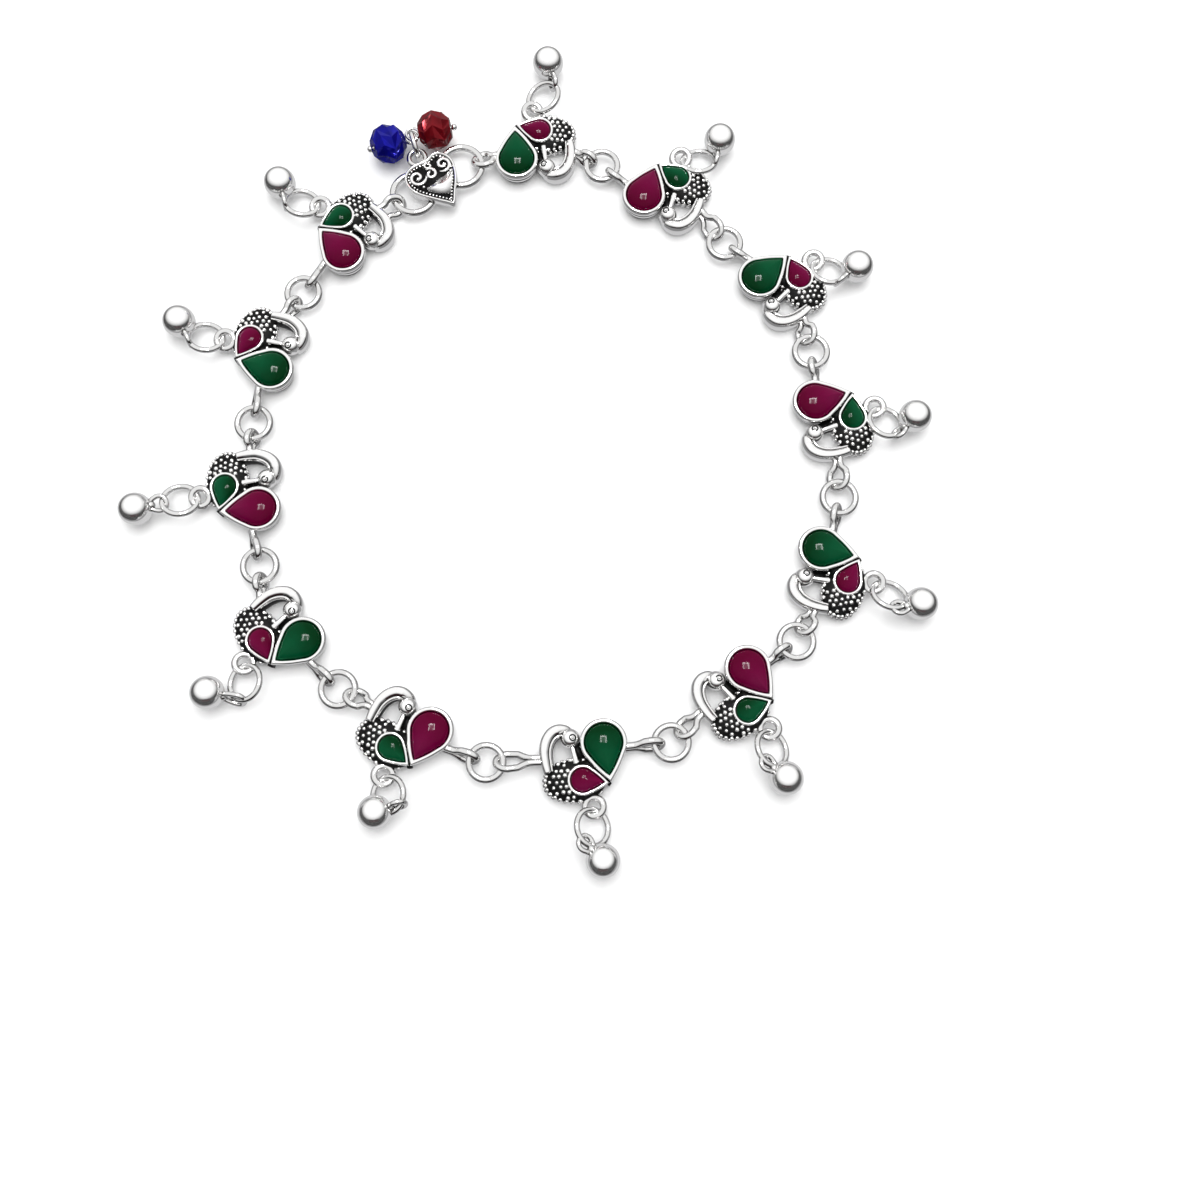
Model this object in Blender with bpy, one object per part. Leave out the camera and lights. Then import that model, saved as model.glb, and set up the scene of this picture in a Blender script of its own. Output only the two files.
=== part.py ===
"""Payal anklet: twelve cast peacock plaques, linked by rings and closed by an S-hook.

The anklet lies flat on z = 0 with the loop closed. Lengths below are in
millimetres and are scaled to metres when a mesh is made.
"""
import math

import bpy
import bmesh
from mathutils import Matrix, Vector

MM = 0.001

# Plaque: shared casting, in its own frame. The origin is the middle of the
# large stone, the hook lies toward -x and the drop hangs toward -y.
RIM_HEIGHT = 2.7
BIG_CENTRE = (-0.04, 0.45)
BIG_RADIUS = 2.55
BIG_REACH = 4.45
BIG_TIP = -85.0
BIG_RIM = 0.65
BIG_POCKET_FLOOR = 1.1
BIG_SIDES = 14

SMALL_CENTRE = (-3.31, -4.34)
SMALL_RADIUS = 1.6
SMALL_REACH = 2.9
SMALL_TIP = -10.8
SMALL_RIM = 0.5
SMALL_SIDES = 10

BODY_CENTRE = (-4.3, -4.3)
BODY_AXES = (4.35, 2.95)
BODY_HEIGHT = 2.2
BODY_SIDES = 11

HOOK_PATH = [(-8.2, -2.6), (-8.15, -0.4), (-7.4, 1.7), (-6.1, 2.5), (-4.6, 1.9)]
HOOK_WIDTHS = [1.6, 1.8, 1.6, 1.2, 0.9]
HOOK_HEIGHTS = [2.7, 2.7, 2.65, 2.55, 2.3]
HEAD_CENTRE = (-4.5, 1.15, 1.35)
HEAD_RADIUS = 1.2
NECK = [(-4.2, 0.5), (-4.0, -1.9)]
NECK_WIDTH = 0.77
NECK_HEIGHT = 1.9

# Eyelets: upright loops at the two ends, a flat loop on the drop side.
BEZEL_EYELET_AT = (3.0, -0.5)
HOOK_EYELET_AT = (-8.75, -1.1)
EYELET_WIRE = 0.35
EYELET_HALF_HEIGHT = 1.0
EYELET_MIDDLE = 1.4
EYELET_LEAN = 15.0
DROP_EYELET_AT = (-2.1, -8.0)
DROP_EYELET_RADIUS = 1.35
DROP_EYELET_WIRE = 0.4
DROP_EYELET_Z = 1.3

# Large stones: cabochons seated in the big bezels with a small gap.
STONE_GAP = 0.2
STONE_GIRDLE = 2.3
STONE_CROWN = 3.35
STONE_SIDES = 12

# Link rings and the gap they keep inside the eyelets.
RING_RADIUS = 2.25
RING_WIRE = 0.36
PIECE_GAP = 0.3

# Drops: a jump ring, a loop and a polished ball, one short chain each.
JUMP_RADIUS = 2.5
JUMP_WIRE = 0.28
JUMP_PULL = 0.35
DROP_LOOP_HALF_WIDTH = 1.15
DROP_LOOP_WIRE = 0.3
BALL_RADIUS = 2.2
HELD_ABOVE = 1.75

# Clasp: an S-hook of two loops under a heart plate.
HOOK_LOOP_RADIUS = 2.9
HOOK_LOOP_WIRE = 0.4
HOOK_LOOPS = [(-10.50, 41.70), (-17.50, 37.15)]
HEART_BASE = 1.55
HEART_TOP = 3.05
HEART_OUTLINE = [
    (-11.49, 35.56), (-10.95, 38.2), (-11.10, 41.0), (-12.0, 43.0), (-13.6, 43.9),
    (-15.2, 43.5), (-16.1, 42.2), (-17.5, 42.5), (-18.9, 41.6), (-19.3, 39.9),
    (-18.5, 38.3), (-16.2, 37.1), (-13.8, 36.2),
]
HEART_EYELET_AT = (-17.05, 43.35)
HEART_EYELET_RADIUS = 1.15
HEART_EYELET_WIRE = 0.32

# Charm ring and the two beads on their head pins.
CHARM_RING_AT = (-17.63, 45.26, 2.35)
CHARM_RING_WAY = (0.3, -0.954, 0.0)
CHARM_RING_RADIUS = 1.75
CHARM_RING_WIRE = 0.25
BEAD_RADIUS = 2.9
BEAD_LENGTH = 4.2
BEAD_BORE = 0.5
BLUE_BEAD_AT = (-21.5, 45.2, 2.95)
RED_BEAD_AT = (-14.6, 47.45, 2.95)
PIN_WIRE = 0.22
PIN_HEAD = 0.45
PIN_LOOP_RADIUS = 0.95
PIN_LOOP_SLACK = 0.2
BLUE_PIN_Z = 2.05
RED_PIN_Z = 2.75

# Route: the middle of each plaque's large stone and its turn in degrees,
# clockwise from the clasp.
ROUTE = [
    (-2.38, 43.60, 178.9), (16.78, 37.66, 153.3), (33.81, 24.36, 124.5),
    (41.32, 5.06, 100.1), (41.41, -16.81, 71.3), (30.56, -33.85, 33.3),
    (10.66, -44.02, 5.4), (-13.10, -42.39, -32.7), (-31.14, -29.87, -55.1),
    (-38.43, -10.94, -88.7), (-37.66, 9.96, -110.4), (-27.94, 28.39, -139.4),
]
RING_CENTRES = [
    (10.40, 42.56), (28.54, 29.95), (40.73, 12.90), (43.96, -9.07), (37.24, -29.69),
    (19.80, -43.59), (-5.35, -46.27), (-25.80, -36.29), (-37.52, -19.01),
    (-39.57, 2.00), (-33.45, 22.05),
]
# Drops: way the jump ring leaves the plaque, its roll and pitch, all in
# degrees, and the middle of the ball on the floor plan.
DROPS = [
    (-125, -40, 20, 2.20, 59.27), (-138, -42, 20, 28.06, 46.35), (-135, -40, 20, 47.84, 25.82),
    (-130, -40, 20, 55.12, 2.75), (-115, -62, 30, 54.51, -24.52), (-120, -62, 30, 35.15, -48.39),
    (-100, -62, 30, 10.50, -59.24), (-50, 50, 25, -20.01, -52.87), (-55, 42, 20, -43.44, -36.84),
    (-80, 40, 20, -55.22, -10.96), (-75, 40, 20, -51.03, 17.22), (-62, 40, 20, -37.57, 39.29),
]


def principled(name, colour, metallic, roughness, transmission=0.0, ior=1.5):
    material = bpy.data.materials.new(name)
    material.use_nodes = True
    shader = material.node_tree.nodes["Principled BSDF"]
    shader.inputs["Base Color"].default_value = (*colour, 1.0)
    shader.inputs["Metallic"].default_value = metallic
    shader.inputs["Roughness"].default_value = roughness
    shader.inputs["Transmission Weight"].default_value = transmission
    shader.inputs["IOR"].default_value = ior
    return material


def silver(name):
    return principled(name, (0.82, 0.82, 0.80), 1.0, 0.16)


def glass(name, colour):
    return principled(name, colour, 0.0, 0.08, 0.35, 1.52)


def loft(loops, closed=False):
    """Verts and faces of a skin over loops of equal length, capped unless closed."""
    count = len(loops[0])
    verts = [Vector(point) for loop in loops for point in loop]
    faces = []
    spans = len(loops) if closed else len(loops) - 1
    for i in range(spans):
        a, b = i * count, ((i + 1) % len(loops)) * count
        for j in range(count):
            k = (j + 1) % count
            faces.append((a + j, a + k, b + k, b + j))
    if not closed:
        faces.append(tuple(reversed(range(count))))
        faces.append(tuple(range((len(loops) - 1) * count, len(loops) * count)))
    return verts, faces


def flat_loop(outline, z):
    return [(x, y, z) for x, y in outline]


def teardrop(centre, radius, reach, tip, count):
    """A round end and a tip, counter-clockwise, starting at the tip."""
    tangent = math.acos(radius / reach)
    turn = math.radians(tip)
    arc = count - 3
    angles = [turn + tangent + (2 * math.pi - 2 * tangent) * i / (arc - 1) for i in range(arc)]
    point = Vector((math.cos(turn), math.sin(turn))) * reach
    bow = [Vector((math.cos(a), math.sin(a))) * radius for a in angles]
    side = Vector((-math.sin(turn), math.cos(turn))) * radius * 0.06
    first = (point + bow[0]) / 2 + side
    last = (point + bow[-1]) / 2 - side
    return [(p.x + centre[0], p.y + centre[1]) for p in [point, first, *bow, last]]


def ellipse(centre, axes, count, scale=1.0):
    return [
        (centre[0] + axes[0] * scale * math.cos(2 * math.pi * i / count),
         centre[1] + axes[1] * scale * math.sin(2 * math.pi * i / count))
        for i in range(count)
    ]


def torus(centre, along, across, radius, wire, count, sides, phase=0.0):
    """A ring of wire in the plane of two unit vectors."""
    centre, along, across = Vector(centre), Vector(along), Vector(across)
    normal = along.cross(across).normalized()
    loops = []
    for i in range(count):
        a = 2 * math.pi * (i + phase) / count
        out = along * math.cos(a) + across * math.sin(a)
        loops.append([
            centre + out * (radius + wire * math.cos(b)) + normal * (wire * math.sin(b))
            for b in (2 * math.pi * j / sides for j in range(sides))
        ])
    return loft(loops, closed=True)


def tube(points, wire, sides, binormal):
    """Round wire along a path that lies in the plane across the binormal."""
    points = [Vector(p) for p in points]
    binormal = Vector(binormal).normalized()
    loops = []
    for i, p in enumerate(points):
        before = (p - points[i - 1]).normalized() if i else (points[1] - p).normalized()
        after = (points[i + 1] - p).normalized() if i + 1 < len(points) else before
        tangent = (before + after).normalized()
        stretch = 1 / max(0.5, tangent.dot(before))
        side = binormal.cross(tangent).normalized() * stretch
        loops.append([
            p + side * (wire * math.cos(b)) + binormal * (wire * math.sin(b))
            for b in (2 * math.pi * j / sides for j in range(sides))
        ])
    return loft(loops)


def ball(centre, radius, count, rows):
    centre = Vector(centre)
    verts = [centre + Vector((0, 0, -radius))]
    for r in range(1, rows):
        a = math.pi * r / rows - math.pi / 2
        for i in range(count):
            b = 2 * math.pi * i / count
            verts.append(centre + radius * Vector((math.cos(a) * math.cos(b), math.cos(a) * math.sin(b), math.sin(a))))
    verts.append(centre + Vector((0, 0, radius)))
    faces = []
    for i in range(count):
        k = (i + 1) % count
        faces.append((0, 1 + k, 1 + i))
        for r in range(rows - 2):
            a, b = 1 + r * count, 1 + (r + 1) * count
            faces.append((a + i, a + k, b + k, b + i))
        top = 1 + (rows - 2) * count
        faces.append((top + i, top + k, len(verts) - 1))
    return verts, faces


def make_mesh(name, solid, place=None):
    verts, faces = solid
    mesh = bpy.data.meshes.new(name)
    mesh.from_pydata([v * MM for v in verts], [], faces)
    if place is not None:
        mesh.transform(place)
    shape = bmesh.new()
    shape.from_mesh(mesh)
    bmesh.ops.recalc_face_normals(shape, faces=shape.faces)
    shape.to_mesh(mesh)
    shape.free()
    return mesh


def add_part(name, mesh, material):
    mesh.materials.clear()
    mesh.materials.append(material)
    part = bpy.data.objects.new(name, mesh)
    bpy.context.scene.collection.objects.link(part)
    return part


def fuse(name, solids, material, place=None):
    """One closed body from overlapping solids."""
    parts = [add_part(name + "_piece", make_mesh(name, solid, place), material) for solid in solids]
    base = parts[0]
    for other in parts[1:]:
        joint = base.modifiers.new("join", "BOOLEAN")
        joint.operation = "UNION"
        joint.solver = "EXACT"
        joint.object = other
    bpy.context.view_layer.update()
    mesh = bpy.data.meshes.new_from_object(base.evaluated_get(bpy.context.evaluated_depsgraph_get()))
    for part in parts:
        bpy.data.objects.remove(part)
    shape = bmesh.new()
    shape.from_mesh(mesh)
    bmesh.ops.remove_doubles(shape, verts=shape.verts, dist=0.000002)
    bmesh.ops.dissolve_limit(shape, angle_limit=math.radians(0.5), verts=shape.verts, edges=shape.edges)
    bmesh.ops.triangulate(shape, faces=shape.faces)
    shape.to_mesh(mesh)
    shape.free()
    mesh.name = name
    return add_part(name, mesh, material)


def plaque_frame(plaque):
    x, y, turn = ROUTE[plaque]
    return Matrix.Translation((x, y, 0)) @ Matrix.Rotation(math.radians(turn), 4, "Z")


def on_floor(plaque, point):
    return plaque_frame(plaque) @ Vector((*point[:2], 0))


def neighbours(plaque):
    """Centres of the rings at the bezel side and at the hook side."""
    before = RING_CENTRES[plaque - 1] if plaque else HOOK_LOOPS[0]
    after = RING_CENTRES[plaque] if plaque < len(RING_CENTRES) else HOOK_LOOPS[1]
    return before, after


def eyelet(start, ring, depth, ring_radius, ring_wire):
    """Upright loop that reaches from the plaque round the wire of a ring."""
    start, ring = Vector((start.x, start.y, 0)), Vector((*ring, 0))
    way = (ring - start).normalized()
    reach = (ring - start).length - ring_radius + ring_wire + PIECE_GAP + EYELET_WIRE
    aside = Vector((-way.y, way.x, 0))
    lean = math.radians(EYELET_LEAN)
    up = aside * math.sin(lean) + Vector((0, 0, math.cos(lean)))
    middle = start + Vector((0, 0, EYELET_MIDDLE))
    h = EYELET_HALF_HEIGHT
    profile = [(-depth, h), (reach - 0.65 * h, h), (reach, 0.42 * h),
               (reach, -0.42 * h), (reach - 0.65 * h, -h), (-depth, -h)]
    return tube([middle + way * s + up * t for s, t in profile], EYELET_WIRE, 5, way.cross(up))


def setting(plaque):
    """Both bezels, the small stone, the body, hook, head and eyelets in one casting."""
    big_out = teardrop(BIG_CENTRE, BIG_RADIUS + BIG_RIM, BIG_REACH + 1.6 * BIG_RIM, BIG_TIP, BIG_SIDES)
    big_in = teardrop(BIG_CENTRE, BIG_RADIUS, BIG_REACH, BIG_TIP, BIG_SIDES)
    small_out = teardrop(SMALL_CENTRE, SMALL_RADIUS + SMALL_RIM, SMALL_REACH + 1.6 * SMALL_RIM, SMALL_TIP, SMALL_SIDES)
    small_in = teardrop(SMALL_CENTRE, SMALL_RADIUS, SMALL_REACH, SMALL_TIP, SMALL_SIDES)
    dome = teardrop(SMALL_CENTRE, SMALL_RADIUS * 0.55, SMALL_REACH * 0.5, SMALL_TIP, SMALL_SIDES)
    solids = [
        loft([flat_loop(big_out, 0), flat_loop(big_out, RIM_HEIGHT), flat_loop(big_in, RIM_HEIGHT),
              flat_loop(big_in, BIG_POCKET_FLOOR)]),
        loft([flat_loop(small_out, 0.05), flat_loop(small_out, RIM_HEIGHT - 0.1), flat_loop(small_in, RIM_HEIGHT - 0.1),
              flat_loop(small_in, RIM_HEIGHT - 0.4), flat_loop(dome, RIM_HEIGHT + 0.2)]),
        loft([flat_loop(ellipse(BODY_CENTRE, BODY_AXES, BODY_SIDES, s), z)
              for s, z in ((1, 0), (1, 1.1), (0.6, BODY_HEIGHT))]),
    ]
    loops = []
    for i, (x, y) in enumerate(HOOK_PATH):
        before, after = HOOK_PATH[max(0, i - 1)], HOOK_PATH[min(len(HOOK_PATH) - 1, i + 1)]
        way = Vector((after[0] - before[0], after[1] - before[1], 0)).normalized()
        side = Vector((way.y, -way.x, 0)) * HOOK_WIDTHS[i] / 2
        h = HOOK_HEIGHTS[i]
        loops.append([Vector((x, y, 0)) + side * s + Vector((0, 0, h * t)) for s, t in
                      ((-1, 0), (1, 0), (1, 0.7), (0.45, 1), (-0.45, 1), (-1, 0.7))])
    solids.append(loft(loops))
    solids.append(ball(HEAD_CENTRE, HEAD_RADIUS, 10, 4))
    neck = []
    for x, y in NECK:
        neck.append([(x - NECK_WIDTH / 2, y, 0.3), (x + NECK_WIDTH / 2, y, 0.3),
                     (x + NECK_WIDTH / 2, y, NECK_HEIGHT), (x - NECK_WIDTH / 2, y, NECK_HEIGHT)])
    solids.append(loft(neck))
    r = DROP_EYELET_RADIUS
    bend = [(r * math.cos(a) + DROP_EYELET_AT[0], r * math.sin(a) + DROP_EYELET_AT[1], DROP_EYELET_Z)
            for a in (math.radians(d) for d in range(-230, 51, 40))]
    solids.append(tube(bend, DROP_EYELET_WIRE, 5, (0, 0, 1)))
    frame = plaque_frame(plaque)
    back = frame.inverted()
    before, after = neighbours(plaque)
    ends = ((BEZEL_EYELET_AT, before, 0.4, plaque == 0), (HOOK_EYELET_AT, after, 0.8, plaque == 11))
    for at, ring, depth, clasp in ends:
        radius, wire = (HOOK_LOOP_RADIUS, HOOK_LOOP_WIRE) if clasp else (RING_RADIUS, RING_WIRE)
        verts, faces = eyelet(frame @ Vector((*at, 0)), ring, depth, radius, wire)
        solids.append(([back @ v for v in verts], faces))
    place = Matrix.Translation(frame.translation * MM) @ frame.to_3x3().to_4x4()
    name = f"setting_{plaque + 1:02d}"
    return fuse(name, solids, silver(name), place)


def large_stone(plaque):
    """Glass cabochon of the big bezel."""
    def outline(shrink, scale=1.0):
        return teardrop(BIG_CENTRE, (BIG_RADIUS - shrink) * scale, (BIG_REACH - 1.6 * shrink) * scale, BIG_TIP, STONE_SIDES)
    loops = [flat_loop(outline(STONE_GAP), BIG_POCKET_FLOOR + STONE_GAP), flat_loop(outline(STONE_GAP), STONE_GIRDLE),
             flat_loop(outline(STONE_GAP, 0.5), STONE_CROWN)]
    frame = plaque_frame(plaque)
    place = Matrix.Translation(frame.translation * MM) @ frame.to_3x3().to_4x4()
    name = f"stone_{plaque + 1:02d}"
    colour = (0.0, 0.17, 0.06) if plaque % 2 == 0 else (0.45, 0.0, 0.12)
    mesh = make_mesh(name, loft(loops), place)
    return add_part(name, mesh, glass(name, colour))


def link_ring(number):
    name = f"link_{number + 1:02d}"
    x, y = RING_CENTRES[number]
    solid = torus((x, y, EYELET_MIDDLE), (1, 0, 0), (0, 1, 0), RING_RADIUS, RING_WIRE, 10, 5)
    return add_part(name, make_mesh(name, solid), silver(name))


def drop(plaque):
    """Jump ring through the drop eyelet, loop and ball."""
    azimuth, roll, pitch, x, y = DROPS[plaque]
    heading = math.radians(azimuth + ROUTE[plaque][2])
    roll, pitch = math.radians(roll), math.radians(pitch)
    ahead = Vector((math.cos(heading), math.sin(heading), 0))
    left = Vector((-math.sin(heading), math.cos(heading), 0))
    up = Vector((0, 0, 1))
    along = ahead * math.cos(pitch) + up * math.sin(pitch)
    across = left * math.cos(roll) + (up * math.cos(pitch) - ahead * math.sin(pitch)) * math.sin(roll)
    near = on_floor(plaque, DROP_EYELET_AT) + up * DROP_EYELET_Z + ahead * JUMP_PULL
    centre = near + along * JUMP_RADIUS
    middle = Vector((x, y, BALL_RADIUS))
    wires = [centre + (along * math.cos(a) + across * math.sin(a)) * JUMP_RADIUS
             for a in (math.radians(d) for d in range(-120, 121, 10))]
    held = min((w for w in wires if w.z > HELD_ABOVE), key=lambda w: abs((w - middle).length - 3.7))
    way = (middle - held).normalized()
    side = way.cross(up).normalized() if abs(way.z) < 0.9 else left
    rise = side.cross(way).normalized()
    w = DROP_LOOP_HALF_WIDTH
    start, end = held - way * (JUMP_WIRE + DROP_LOOP_WIRE - 0.2), middle - way * (BALL_RADIUS - 0.5)
    length = (end - start).length
    profile = [(length, 0.5), (w, 0.85 * w), (0, 0.4 * w), (0, -0.4 * w), (w, -0.85 * w), (length, -0.5)]
    name = f"drop_{plaque + 1:02d}"
    solids = [
        ball(middle, BALL_RADIUS, 10, 6),
        tube([start + way * s + rise * t for s, t in profile], DROP_LOOP_WIRE, 5, side),
        torus(centre, along, across, JUMP_RADIUS, JUMP_WIRE, 10, 5, 0.5),
    ]
    return fuse(name, solids, silver(name))


def clasp_hook():
    """Two wire loops under the heart plate with its notch eyelet."""
    solids = [loft([flat_loop(HEART_OUTLINE, HEART_BASE), flat_loop(HEART_OUTLINE, HEART_TOP)])]
    for x, y in HOOK_LOOPS:
        solids.append(torus((x, y, EYELET_MIDDLE), (1, 0, 0), (0, 1, 0), HOOK_LOOP_RADIUS, HOOK_LOOP_WIRE, 12, 5))
    solids.append(torus((*HEART_EYELET_AT, 2.3), (1, 0, 0), (0, 1, 0), HEART_EYELET_RADIUS, HEART_EYELET_WIRE, 10, 5))
    return fuse("clasp_hook", solids, silver("clasp_hook"))


def charm_ring():
    along = Vector(CHARM_RING_WAY).normalized()
    solid = torus(CHARM_RING_AT, along, (0, 0, 1), CHARM_RING_RADIUS, CHARM_RING_WIRE, 12, 5, 0.5)
    return add_part("charm_ring", make_mesh("charm_ring", solid), silver("charm_ring"))


def pin_loop(bead_at, z):
    """Middle of the flat loop that holds a pin on the far side of the charm ring."""
    wire = Vector(CHARM_RING_AT) - Vector(CHARM_RING_WAY).normalized() * CHARM_RING_RADIUS
    wire.z = z
    back = Vector(bead_at) - wire
    back.z = 0
    return wire + back.normalized() * PIN_LOOP_SLACK


def bead(name, centre, loop_at, colour):
    """Faceted rondelle with a bore for its pin."""
    centre = Vector(centre)
    axis = (loop_at - centre).normalized()
    side = axis.cross(Vector((0, 0, 1))).normalized()
    rise = side.cross(axis)
    half = BEAD_LENGTH / 2
    rows = [(-half, BEAD_BORE, 0), (-half, 1.5, 0), (-half * 0.45, 2.55, 0.5), (0, BEAD_RADIUS, 0),
            (half * 0.45, 2.55, 0.5), (half, 1.5, 0), (half, BEAD_BORE, 0)]
    loops = []
    for s, radius, shift in rows:
        loops.append([centre + axis * s + (side * math.cos(a) + rise * math.sin(a)) * radius
                      for a in (2 * math.pi * (j + shift) / 10 for j in range(10))])
    return add_part(name, make_mesh(name, loft(loops, closed=True)), glass(name, colour))


def pin(name, centre, loop_at):
    """Head pin through a bead, turned into a flat loop on the charm ring."""
    centre = Vector(centre)
    axis = (loop_at - centre).normalized()
    head = centre - axis * (BEAD_LENGTH / 2 + 0.55)
    tail = loop_at - axis * PIN_LOOP_RADIUS
    flat = Vector((axis.x, axis.y, 0)).normalized()
    solids = [
        tube([head, tail], PIN_WIRE, 5, axis.cross(Vector((0, 0, 1)))),
        ball(head, PIN_HEAD, 10, 5),
        torus(loop_at, flat, Vector((-flat.y, flat.x, 0)), PIN_LOOP_RADIUS, PIN_WIRE, 10, 5, 0.5),
    ]
    return fuse(name, solids, silver(name))


def rest_on_origin():
    """Move the whole anklet so that the middle of its footprint is the origin."""
    parts = list(bpy.context.scene.collection.objects)
    corners = [v.co for part in parts for v in part.data.vertices]
    low = Vector(min(c[i] for c in corners) for i in range(3))
    high = Vector(max(c[i] for c in corners) for i in range(3))
    move = Vector((-(low.x + high.x) / 2, -(low.y + high.y) / 2, -low.z))
    for part in parts:
        part.data.transform(Matrix.Translation(move))
    print("moved by", [round(v / MM, 3) for v in move], "size", [round(v / MM, 2) for v in high - low])


def build():
    for item in list(bpy.data.objects):
        bpy.data.objects.remove(item)
    for plaque in range(len(ROUTE)):
        setting(plaque)
        large_stone(plaque)
        drop(plaque)
    for number in range(len(RING_CENTRES)):
        link_ring(number)
    clasp_hook()
    charm_ring()
    for name, at, z, colour in (("blue", BLUE_BEAD_AT, BLUE_PIN_Z, (0.01, 0.03, 0.5)),
                                ("red", RED_BEAD_AT, RED_PIN_Z, (0.4, 0.0, 0.02))):
        loop_at = pin_loop(at, z)
        bead(name + "_bead", at, loop_at, colour)
        pin(name + "_pin", at, loop_at)
    rest_on_origin()


build()
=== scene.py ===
# %% [markdown]
# A payal is a silver anklet. This one lies closed on a white table: twelve cast
# peacock plaques, each with a large and a small glass stone, joined by rings, with
# a ball drop on every plaque and a hook clasp under a heart plate. The packed
# solids give every place; here each gets its fine form and its finish.

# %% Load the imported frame
import math
import random

import bmesh
import bpy
import numpy as np
from mathutils import Matrix, Vector


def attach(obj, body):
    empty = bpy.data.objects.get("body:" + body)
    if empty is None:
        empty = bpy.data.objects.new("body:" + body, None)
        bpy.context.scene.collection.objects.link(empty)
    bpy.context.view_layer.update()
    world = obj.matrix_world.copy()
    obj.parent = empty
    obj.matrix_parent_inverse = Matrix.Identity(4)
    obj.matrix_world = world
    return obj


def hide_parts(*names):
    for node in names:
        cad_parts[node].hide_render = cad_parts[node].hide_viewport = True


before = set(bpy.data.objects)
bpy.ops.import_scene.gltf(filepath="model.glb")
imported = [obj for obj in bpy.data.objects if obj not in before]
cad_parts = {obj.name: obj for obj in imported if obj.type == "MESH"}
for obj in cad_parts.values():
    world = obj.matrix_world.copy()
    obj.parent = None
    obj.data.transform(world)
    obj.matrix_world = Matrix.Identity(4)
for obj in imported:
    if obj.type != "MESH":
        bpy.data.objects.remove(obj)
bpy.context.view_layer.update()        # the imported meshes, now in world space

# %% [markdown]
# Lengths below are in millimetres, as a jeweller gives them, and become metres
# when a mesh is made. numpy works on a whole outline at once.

MM = 0.001
UP = np.array((0.0, 0.0, 1.0))

# %% [markdown]
# The solids were laid out in millimetres from chosen places on the chain: the
# middle of each large stone and the way it is turned, the middles of the rings,
# and where each drop lies. The same values are used again here, with the small
# move that put the middle of the anklet on the origin.

# %% Route of the chain
MOVE = np.array((0.05, -0.015, 0.0))
ROUTE = [
    (-2.38, 43.60, 178.9), (16.78, 37.66, 153.3), (33.81, 24.36, 124.5),
    (41.32, 5.06, 100.1), (41.41, -16.81, 71.3), (30.56, -33.85, 33.3),
    (10.66, -44.02, 5.4), (-13.10, -42.39, -32.7), (-31.14, -29.87, -55.1),
    (-38.43, -10.94, -88.7), (-37.66, 9.96, -110.4), (-27.94, 28.39, -139.4),
]
RING_CENTRES = [
    (10.40, 42.56), (28.54, 29.95), (40.73, 12.90), (43.96, -9.07), (37.24, -29.69),
    (19.80, -43.59), (-5.35, -46.27), (-25.80, -36.29), (-37.52, -19.01),
    (-39.57, 2.00), (-33.45, 22.05),
]
HOOK_LOOPS = [(-10.75, 42.45), (-17.70, 38.00)]
# way the jump ring leaves, its roll and pitch, the ball's place, turn of its loop
DROPS = [
    (-125, -40, 20, 2.20, 59.27, 20), (-170, -42, 20, 28.06, 46.35, 10),
    (-165, -40, 20, 47.84, 25.82, 10), (-160, -40, 20, 55.12, 2.75, 30),
    (-115, -62, 30, 54.51, -24.52, 60), (-120, -62, 30, 35.15, -48.39, 60),
    (-100, -62, 30, 10.50, -59.24, 60), (-40, 46, 22, -20.01, -52.87, 20),
    (-27, 42, 20, -43.44, -36.84, 30), (-80, 40, 20, -55.22, -10.96, 75),
    (-75, 40, 20, -51.03, 17.22, 10), (-50, 40, 20, -37.57, 39.29, 10),
]
PLAQUES = len(ROUTE)
LAST = PLAQUES - 1
print(PLAQUES, "plaques,", len(RING_CENTRES), "rings,", len(DROPS), "drops")


def plaque_matrix(i):
    x, y, turn = ROUTE[i]
    place = Matrix.Translation(Vector(((x + MOVE[0]) * MM, (y + MOVE[1]) * MM, 0)))
    return place @ Matrix.Rotation(math.radians(turn), 4, "Z")


def on_table(i, x, y, z=0.0):
    """A point of plaque i in millimetres on the table."""
    px, py, turn = ROUTE[i]
    a = math.radians(turn)
    return np.array((px + x * math.cos(a) - y * math.sin(a),
                     py + x * math.sin(a) + y * math.cos(a), z))


# %% [markdown]
# The camera looks down on the table almost from above, as the photograph does.
# It comes first, so that every later step can be looked at.

# %% Camera
ELEVATION = math.radians(79.0)
FOCAL_SHARE = 1150.0 / 1200.0  # focal length over the picture's width
SENSOR = 36.0
AIM = Vector((10.15, -24.115, 2.7)) * MM
DISTANCE = 158.7 * MM

camera_data = bpy.data.cameras.new("camera")
camera_data.sensor_width = SENSOR
camera_data.lens = SENSOR * FOCAL_SHARE
camera_data.clip_start, camera_data.clip_end = 0.01, 10.0
camera = bpy.data.objects.new("camera", camera_data)
bpy.context.scene.collection.objects.link(camera)
back = Vector((0.0, -math.cos(ELEVATION), math.sin(ELEVATION)))
camera.location = AIM + back * DISTANCE
camera.rotation_mode = "QUATERNION"
camera.rotation_quaternion = (-back).to_track_quat("-Z", "Y")
bpy.context.scene.camera = camera
print("camera at", [round(v, 3) for v in camera.location])

# %% [markdown]
# Finishes come next. Polished silver is a metal with very low roughness. What makes it read as
# old silver is the black oxide that is left wherever a polishing cloth can't reach, so its
# colour darkens where the surface is closed in. One recipe makes five silvers: the casting, the
# wire, the balls, the granules and the satin corner of the heart differ in how far the oxide
# reaches, how light the clean metal is and how dull its polish. The wire's clean metal is set
# darker as painted shade, standing in for the dark reflections that thin wire shows.


# %% Node helper
def new_finish(name):
    finish = bpy.data.materials.new(name)
    finish.use_nodes = True
    nodes, links = finish.node_tree.nodes, finish.node_tree.links
    return finish, nodes, links, nodes["Principled BSDF"]


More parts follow.
